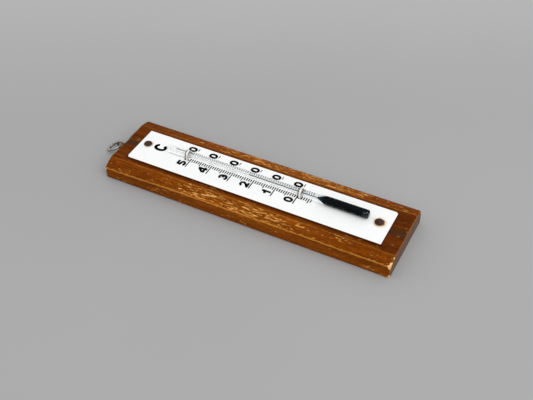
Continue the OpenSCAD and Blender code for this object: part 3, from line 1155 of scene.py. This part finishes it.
def printInk():
    where = startMaterial("printInk")
    patchy = noiseAt(where, 1.3, 4.0, 0.6)
    colour = mix(ramp(patchy, 0.62, 0.8) * 0.8, scale["ink"], scale["inkWorn"])
    # the degree lines run out thinly beneath the stem
    x, y, _ = splitXyz(where)
    first, last = scale["beneath"]
    faded = band(x, first - 0.4, first - 0.2, last + 0.2, last + 0.4)
    faded = faded * maths("LESS_THAN", y, markHeight(scale["highest"]) + 1)
    colour = mix(faded * 0.9, colour, scale["inkFaded"])
    return endMaterial(colour, patchy * 0.3 + 0.35, 0.05, Normal=bump(patchy, 0.2, 0.02))


def markHeight(degree):
    # place of a degree line along the board
    low, high = boxMm("stem_glass")
    first = low.y + scale["neckAbove"] + scale["aboveNeck"]
    last = high.y - scale["belowTip"]
    return first + (last - first) * (degree - scale["lowest"]) / (scale["highest"] - scale["lowest"])


def makePrint():
    ink = printInk()
    floor = boxMm("scale_plate")[1].z
    # strokes that cross stand a hair apart, so that no two faces share a plane
    levels = [(floor - 0.01, floor + scale["inkHeight"] + 0.003 * i) for i in range(3)]
    lines, figures = [], []

    def rule(first, last, y, width):
        lines.append(strokeSlab([(first, y), (last, y)], width, *levels[0]))

    for degree in range(scale["lowest"], scale["highest"] + 1):
        y = markHeight(degree)
        kind = "tens" if degree % 10 == 0 else "five" if degree % 5 == 0 else "short"
        rule(scale[kind + "From"], scale["linesTo"], y, scale["tensLine" if kind == "tens" else "degreeLine"])
        rule(*scale["beneath"], y, scale["degreeLine"])
        if kind == "tens":
            rule(scale["rightFrom"], scale["rightTo"], y, scale["rightLine"])
    for degree in range(0, scale["highest"] + 1, 10):
        for figure, left in ((degree // 10, scale["tensLeft"]), (0, scale["zeroLeft"])):
            wide = scale["figureWidth"] * (scale["widerFour"] if figure == 4 else 1)
            strokes = figureStrokes(figure, wide, scale["figureHeight"], scale["stroke"])
            base = markHeight(degree) + scale["aboveLine"]
            for line, level in zip(strokes, levels):
                moved = [(left + x, base + y) for x, y in line]
                figures.append(strokeSlab(moved, scale["stroke"], *level, closed=figure == 0))
    left, low = scale["letterLow"]
    halfWide, halfHigh = (size / 2 for size in scale["letterSize"])
    edge = scale["letterStroke"] / 2
    curve = oval(left + halfWide, low + halfHigh, halfWide - edge, halfHigh - edge, 28, 330, 30, 2.15)
    letter = [strokeSlab(curve, scale["letterStroke"], *levels[0])]
    for name, parts in (("degree_lines", lines), ("tens_numbers", figures), ("unit_letter", letter)):
        settle(meshPiece(name, *joinLists(parts), smooth=False), ink, "root", None)


makePrint()
print("scale is printed")


# Glass and spirit

glass = {
    "bulbLength": 24.0,
    "shoulderLength": 6.8,
    "stemDiameter": 4.0,
    "endRadius": 1.3,
    "wall": 0.42,
    "endWall": 0.2,
    "bore": 0.3,
    "chamber": 0.8,
    "chamberLength": 4.0,
    "tipLength": 2.4,
    "spirit": 0.27,
    "threadStart": -60.0,
    "meniscusBack": 3.0,     # how far below the spirit's top the meniscus begins
    "lightThrough": (0.64, 0.65, 0.65, 1),
    "lightAtEdge": (0.58, 0.59, 0.6, 1),
    "stemShine": 1.0,
    "bulbShine": 0.12,
    "bulbTone": tone(2, 4, 6),
    "paintedGlints": tone(150, 158, 166),
    "coneTone": tone(6, 52, 74),
    "threadTone": tone(8, 50, 60),
}


def glassAxis():
    low, high = boxMm("stem_glass")
    middle = (low + high) / 2
    return middle.x, middle.z, min(high.x - low.x, high.z - low.z) / 2


def bulbSide(radius, corner, low, top, steps):
    # from the middle of the closed end round its corner and up the straight side
    outline = [(0, low)] + [(x, low + y) for x, y in arc(radius - corner, corner, corner, -88, 0, steps)]
    return outline + [(radius, y) for y in spread(low + corner, top, steps)]


def softStep(first, last, share):
    # eased way from the first radius to the last
    return first + (last - first) * (1 - cos(pi * share)) / 2


def glassOutline():
    low, high = boxMm("stem_glass")
    radius = glassAxis()[2]
    stem, tip, length = glass["stemDiameter"] / 2, glass["tipLength"], glass["shoulderLength"]
    straight = low.y + glass["bulbLength"]
    outline = bulbSide(radius, glass["endRadius"], low.y, straight, 12)
    outline += [(softStep(radius, stem, share), straight + length * share) for share in spread(0, 1, 24)]
    outline += [(stem, y) for y in spread(straight + length, high.y - tip, 60)]
    for angle in spread(0, pi / 2, 14)[:-1]:
        outline.append((stem * cos(angle), high.y - tip + tip * sin(angle)))
    return outline + [(0, high.y)]


def hollowOutline():
    # bore from inside the shoulder up to the chamber in the sealed tip
    low, high = boxMm("stem_glass")
    bore, wide, length = glass["bore"], glass["chamber"], glass["chamberLength"]
    start = low.y + glass["bulbLength"] - 2
    end = high.y - glass["tipLength"]
    opens = end - length
    outline = [(0, start), (bore, start + 0.1)]
    outline += [(bore, y) for y in spread(start + 0.1, opens, 40)]
    outline += [(softStep(bore, wide, share), opens + length / 2 * share) for share in spread(0, 1, 12)]
    return outline + arc(0, end - wide, wide, 0, 81, 9) + [(0, end)]


def spiritOutline():
    # spirit in the bulb and its shoulder, drawn to a point at the neck
    low = boxMm("stem_glass")[0]
    radius, thin = glassAxis()[2] - glass["wall"], glass["spirit"]
    straight = low.y + glass["bulbLength"]
    outline = bulbSide(radius, glass["endRadius"] - glass["wall"], low.y + glass["endWall"], straight, 8)
    for share in spread(0, 1, 16):
        # three quarters of the way straight, one quarter eased
        across = 0.75 * (radius + (thin - radius) * share) + 0.25 * softStep(radius, thin, share)
        outline.append((across, straight + glass["shoulderLength"] * share))
    return outline + [(0, straight + glass["shoulderLength"] + 0.05)]


def threadOutline():
    top = boxMm("spirit_meniscus")[1].y
    radius, start = glass["spirit"], glass["threadStart"]
    outline = [(0, start), (radius, start)] + [(radius, y) for y in spread(start, top, 260)]
    # the rim climbs the glass, so the surface is hollow
    outline += [(radius * 0.8, top - 0.05), (radius * 0.5, top - 0.14), (radius * 0.2, top - 0.19)]
    return outline + [(0, top - 0.2)]


def clearGlass(name, shine):
    where = startMaterial(name)
    drawn = noiseAt(stretch(where, (0.3, 0.04, 0.3)), detail=1.0)
    dustAndShade = place(softGrime, where, Scale=0.2)
    material = endMaterial((0.99, 1.0, 0.995, 1), dustAndShade["Mask"] * 0.06, Normal=bump(drawn, 0.05, 0.05), **{
        "Transmission Weight": 1.0, "IOR": 1.48, "Specular Tint": (shine, shine, shine, 1)})
    # light from the lamps passes straight through to the plate, less of it near the glass's edges
    facing = addNode("LayerWeight", {"Blend": 0.5}, "Facing")
    passed = mix(ramp(facing, 0.35, 0.9), glass["lightThrough"], glass["lightAtEdge"])
    clear = addNode("BsdfTransparent", {"Color": passed})
    nodes = material.node_tree.nodes
    solid = Flow(nodes["Principled BSDF"].outputs[0])
    shadow = addNode("LightPath", {}, "Is Shadow Ray")
    feed(nodes["Material Output"], "Surface", addNode("MixShader", {0: shadow, 1: solid, 2: clear}))
    return material


def bulbSpirit():
    where = startMaterial("bulbSpirit")
    low = boxMm("stem_glass")[0].y
    shoulder = low + glass["bulbLength"]
    axisX = glassAxis()[0]
    x, y, _ = splitXyz(where)
    swirl = noiseAt(where, 0.35)
    thin = ramp(y + (swirl - 0.5) * 1.5, shoulder + 1.5, shoulder + glass["shoulderLength"])
    colour = mix(thin, glass["bulbTone"], glass["coneTone"])
    colour = mix(swirl * 0.04, colour, glass["coneTone"])
    # painted highlight: a few small bright specks at the closed end's near corner
    corner = ramp(y, low + 4.0, low + 2.0) * ramp(x, axisX - 0.2, axisX - 1.2)
    specks = ramp(noiseAt(where, 2.2, 1.0), 0.6, 0.66)
    return endMaterial(mix(specks * corner, colour, glass["paintedGlints"]), swirl * 0.1 + 0.3, 0.05)


def threadSpirit():
    cloud = noiseAt(startMaterial("threadSpirit"), 1.2, 2.0)
    colour = mix(cloud, glass["threadTone"], tint(glass["threadTone"], 0.7))
    return endMaterial(colour, cloud * 0.1 + 0.25, 0.05)


def makeGlass():
    axisX, axisZ, _ = glassAxis()
    envelope = lathe(glassOutline(), axisX, axisZ, 72)
    points, faces = lathe(hollowOutline(), axisX, axisZ, 24)
    hollow = (points, [face[::-1] for face in faces])
    piece = meshPiece("glass_tube", *joinLists([envelope, hollow]))
    # the dark bulb mirrors less of the room than the clear stem
    piece.data.materials.append(clearGlass("clearGlass", glass["stemShine"]))
    piece.data.materials.append(clearGlass("bulbGlass", glass["bulbShine"]))
    shoulder = boxMm("stem_glass")[0].y + glass["bulbLength"] + glass["shoulderLength"] / 2
    for face in piece.data.polygons:
        if face.center.y / mm < shoulder:
            face.material_index = 1
    settle(piece, None, "root", "clear_glass", "stem_glass")

    bulb = meshPiece("bulb_filling", *lathe(spiritOutline(), axisX, axisZ, 48))
    settle(bulb, bulbSpirit(), "root", "dyed_spirit", "bulb_spirit")

    # the thread runs from inside the bulb, where nothing shows it, up to its top
    thread = meshPiece("spirit_thread", *lathe(threadOutline(), axisX, axisZ, 20))
    thread.data.materials.append(threadSpirit())
    top = boxMm("spirit_meniscus")[1].y
    glass["threadStart"] * mm
    (top - glass["meniscusBack"]) * mm
    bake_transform(thread)
    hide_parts("spirit_column", "spirit_meniscus")


makeGlass()
print("glass and spirit are ready")


# Flat staples over the stem

def brightStrip():
    where = startMaterial("brightStrip")
    dull = place(rustBloom, where, Scale=0.9, Amount=0.25, Dark=tone(86, 70, 60), Warm=tone(140, 112, 86))
    scuffs = place(fineScratches, where, Scale=3.0, Amount=0.7)
    cloud = noiseAt(where, 0.9, 4.0)
    colour = mix(ramp(cloud, 0.35, 0.75), staple["bright"], staple["dull"])
    x, y, _ = splitXyz(where)
    markMask = 0.0
    for nodeName in stapleNames:
        # painted shade along both edges of the strip, which leaves a painted highlight down its middle
        low, high = boxMm(nodeName)
        width = high.y - low.y
        away = abs(y - ((low.y + high.y) / 2 - staple["brightOff"]))
        rim = ramp(away, width * 0.22, width * 0.3) * maths("LESS_THAN", away, width)
        markMask = larger(markMask, rim * ramp(x, high.x - 1.6, high.x - 0.8, 1.0, 0.4))
    colour = mix(markMask * 0.92, colour, staple["edge"])
    colour = mix(dull["Mask"] * 0.5, colour, dull["Color"])
    rough = cloud * 0.25 + 0.2 + dull["Mask"] * 0.3
    relief = bump(scuffs["Height"] + cloud, 0.25, 0.04)
    return endMaterial(colour, rough, metallic=cloud * 0.1 + 0.04, Normal=relief)


def sweepStrip(rows, thickness):
    # flat strip through rows of (place, way out from the stem, width along Y), with rounded edges
    section = oval(0, 0, 0.5, 0.5, 0, 330, 11, 5.0)
    rings = []
    for spot, away, width in rows:
        rings.append([Vector(spot) + Vector(away) * (through * thickness) + Vector((0, across * width, 0))
                      for across, through in section])
    points, faces = skin(rings)
    first = range(len(section))
    faces += [tuple(first), tuple(len(points) - 1 - i for i in first)]
    return points, faces


def makeStaples():
    metal = brightStrip()
    dice = random.Random(staple["seed"])
    for nodeName in stapleNames:
        low, high = boxMm(nodeName)
        thickness, width = staple["thickness"], high.y - low.y
        middle, y = (low.x + high.x) / 2, (low.y + high.y) / 2
        bend = (high.x - low.x - thickness) / 2
        axisZ = high.z - thickness / 2 - bend
        lean = dice.uniform(-1, 1) * staple["lean"]
        leg, bow = [], []
        for up in [0.0] + spread(0, axisZ - low.z, staple["legSteps"])[:-1]:
            pointed = width * min(1.0, 0.12 + 0.88 * up / staple["pointLength"])
            leg.append(((middle - bend, y, low.z + up), (-1, 0, 0), pointed))
        for a in range(180, -1, -6):
            c, s = cos(radians(a)), sin(radians(a))
            spot = (middle + bend * c, y + lean * s, axisZ + bend * s)
            bow.append((spot, (c, 0, s), width * (1 - staple["waist"] * s)))
        other = [((2 * middle - spot[0], y, spot[2]), (1, 0, 0), size) for spot, _, size in reversed(leg)]
        name = nodeName.replace("stem_staple", "stem_strap")
        piece = meshPiece(name, *sweepStrip(leg + bow + other, thickness))
        settle(piece, metal, "root", "bright_steel", nodeName)


makeStaples()
print("staples are ready")


# Rusty nails through the plate

nail = {
    "shank": 0.9,
    "pits": 0.16,
    "sides": 64,
    "rings": 22,
    "edge": 0.18,            # height of the head at its rim
    "underside": 0.93,       # width of the head's flat underside as a share of the head
    "tilts": (0.05, 0.0),    # of the upper head and the lower one
    "seed": 11,
    "dark": tone(42, 23, 20),
    "warm": tone(72, 43, 36),
    "fleck": tone(176, 126, 112),
}


def rustyIron():
    where = startMaterial("rustyIron")
    bloom = place(rustBloom, where, Scale=0.8, Amount=0.55, Dark=nail["dark"], Warm=nail["warm"])
    fine = noiseAt(where, 3.5, 4.0, 0.7)
    colour = mix(bloom["Mask"], nail["dark"], bloom["Color"])
    colour = mix(ramp(fine, 0.55, 0.66), colour, nail["fleck"])
    metallic = ramp(bloom["Height"], 0.55, 0.4) * 0.12
    relief = bump(fine + bloom["Height"], 0.7, 0.12)
    return endMaterial(colour, fine * 0.3 + 0.5, 0.2, metallic, Normal=relief)


def nailHead(x, y, base, radius, height, seed, tilt):
    # domed head on a polar grid, pitted by rust, over a flat underside
    rings = []
    for r in range(1, nail["rings"] + 1):
        share = r / nail["rings"]
        out = radius * share
        rest = nail["edge"] if r < nail["rings"] else nail["edge"] / 2
        ring = []
        for angle in turnsOf(nail["sides"]):
            c, s = cos(angle), sin(angle)
            spot = Vector((out * c, out * s, seed))
            rim = 0.98 + 0.02 * noise.noise(Vector((c * 1.6, s * 1.6, seed)))
            dome = height * (1 - share ** 2.4) ** 0.62
            rough = max(0.0, noise.noise(spot * 1.7) + 0.5 * noise.noise(spot * 4.2))
            pit = nail["pits"] * rough * (1 - share ** 6) * min(1.0, 3 * share)
            ring.append((x + out * c * rim, y + out * s * rim,
                         base + rest + max(0.0, dome - pit) * 0.8 + tilt * out * c * (1 - share)))
        rings.append(ring)
    foot = nail["underside"] * radius
    rings.append([(x + foot * cos(a), y + foot * sin(a), base) for a in turnsOf(nail["sides"])])
    return skin(rings[::-1], (x, y, base), (x, y, base + nail["edge"] + height * 0.86))


def makeNails():
    rust = rustyIron()
    for nodeName, tilt in zip(nailNames, nail["tilts"]):
        low, high = boxMm(nodeName)
        middle = centreMm(nodeName)
        base = boxMm("scale_plate")[1].z
        radius = (high.x - low.x) / 2
        head = nailHead(middle.x, middle.y, base, radius, high.z - base, nail["seed"] + middle.y, tilt)
        path = [(middle.x, middle.y, z) for z in [low.z] + spread(low.z, base + 0.2, 20)]
        shank = sweepWire(path, lambda share, angle: nail["shank"] * min(1.0, 0.12 + share * 4.5), 24)
        piece = meshPiece(nodeName.replace("plate_nail", "rusty_nail"), *joinLists([head, shank]))
        settle(piece, rust, "root", "rusty_iron", nodeName)


makeNails()
print("nails are ready")


# Screw eye and hanging ring

hanger = {
    "eyeWire": 0.65,
    "eyeStart": 24,          # degrees round the loop
    "eyeEnd": 344,
    "neck": 1.2,             # from the board's end to the bend
    "threadPitch": 0.9,
    "threadDepth": 0.16,
    "threadEnd": 0.4,        # how far the thread runs past the board's end
    "ringGap": 3.0,          # degrees between the ring's ends
    "ringGapAt": 60.0,
    "outOfRound": 0.012,     # inward only, as a share of the ring's radius
    "shine": 0.5,
    "steel": tone(246, 243, 236),
    "steelDark": tone(150, 142, 130),
    "rustDarkAndShade": tone(64, 48, 38),
    "rustWarm": tone(122, 92, 66),
}


def tarnishedSteel(name, rustAmount):
    where = startMaterial(name)
    bloom = place(rustBloom, where, Scale=0.6, Amount=rustAmount, Dark=hanger["rustDarkAndShade"],
                  Warm=hanger["rustWarm"])
    scuffs = place(fineScratches, where, Scale=2.0, Amount=0.8)
    cloud = noiseAt(where, 0.5, 4.0)
    colour = mix(ramp(cloud, 0.35, 0.65), hanger["steel"], hanger["steelDark"])
    colour = mix(bloom["Mask"], colour, bloom["Color"])
    # painted shade: the sides and the back of the wire, by the way they face, are darkened to the rust
    # colour; the front stays bright
    facing = splitXyz(addNode("TexCoord", {}, "Normal"))[2]
    colour = mix(ramp(facing, 0.75, 0.25) * 0.85, colour, hanger["rustDarkAndShade"])
    rough = cloud * 0.25 + 0.2 + bloom["Mask"] * 0.35
    metallic = (1.0 - bloom["Mask"]) * hanger["shine"]
    relief = bump(bloom["Height"] * 0.8 + scuffs["Height"], 0.4, 0.08)
    return endMaterial(colour, rough, metallic=metallic, Normal=relief)


def makeEye():
    low, high = boxMm("screw_eye")
    wire = hanger["eyeWire"]
    reach = (high.z - low.z) / 2 - wire
    centreY, centreZ = high.y - reach - wire, (low.z + high.z) / 2
    boardEnd = boxMm("backboard")[1].y
    neck = boardEnd + hanger["neck"]
    path = [(0, y, centreZ) for y in [low.y] + spread(low.y, neck, 110)]
    start = radians(hanger["eyeStart"])
    joinY, joinZ = centreY - reach * cos(start), centreZ + reach * sin(start)
    bendY = centreY - reach - 0.15
    for t in spread(0, 1, 8)[:-1]:
        # quick bend out of the shank into the loop
        y = (1 - t) ** 2 * neck + 2 * t * (1 - t) * bendY + t * t * joinY
        path.append((0, y, centreZ + t * t * (joinZ - centreZ)))
    for a in range(hanger["eyeStart"], hanger["eyeEnd"] + 1, 5):
        angle = radians(a)
        path.append((0, centreY - reach * cos(angle), centreZ + reach * sin(angle)))
    lengths = [0.0]
    for first, second in zip(path, path[1:]):
        lengths.append(lengths[-1] + dist(first, second))
    screwed = boardEnd + hanger["threadEnd"] - low.y

    def thickness(share, angle):
        # a thread on the shank, with a point at its inner end
        along = lengths[min(len(lengths) - 1, int(round(share * (len(path) - 1))))]
        if along > screwed:
            return wire
        taper = min(1.0, 0.1 + along / 2.2)
        ridge = max(0.0, cos(2 * pi * along / hanger["threadPitch"] - angle)) ** 2
        return taper * (wire - hanger["threadDepth"] * (1 - ridge))

    piece = meshPiece("eye_screw", *sweepWire(path, thickness, 24))
    settle(piece, tarnishedSteel("eyeSteel", 0.62), "root", "tarnished_steel", "screw_eye")


def makeRing():
    low, high = boxMm("hanging_ring")
    # the ring's box gives its wire, its size and its lean
    outer = (high.x - low.x) / 2
    centre = (low + high) / 2
    spanY, spanZ = (high.y - low.y) / 2, (high.z - low.z) / 2
    wire = next(w for w in (0.4 + 0.001 * i for i in range(600))
                if hypot(spanY - w, spanZ - w) <= outer - w)
    radius = outer - wire
    leanY, leanZ = (spanY - wire) / radius, -(spanZ - wire) / radius
    gap = hanger["ringGap"]
    start = hanger["ringGapAt"] + gap / 2
    path = []
    for turn in [start] + spread(start, start + 360 - gap, 120):
        angle = radians(turn)
        out = radius * min(1.0, 1 + hanger["outOfRound"] * sin(2 * angle + 0.6))
        path.append((out * cos(angle), centre.y + out * sin(angle) * leanY,
                     centre.z + out * sin(angle) * leanZ))
    piece = meshPiece("loose_ring", *sweepWire(path, lambda share, angle: wire, 24))
    settle(piece, tarnishedSteel("ringSteel", 0.3), "ring", "tarnished_steel", "hanging_ring")


makeEye()
makeRing()
print("eye and ring are ready")
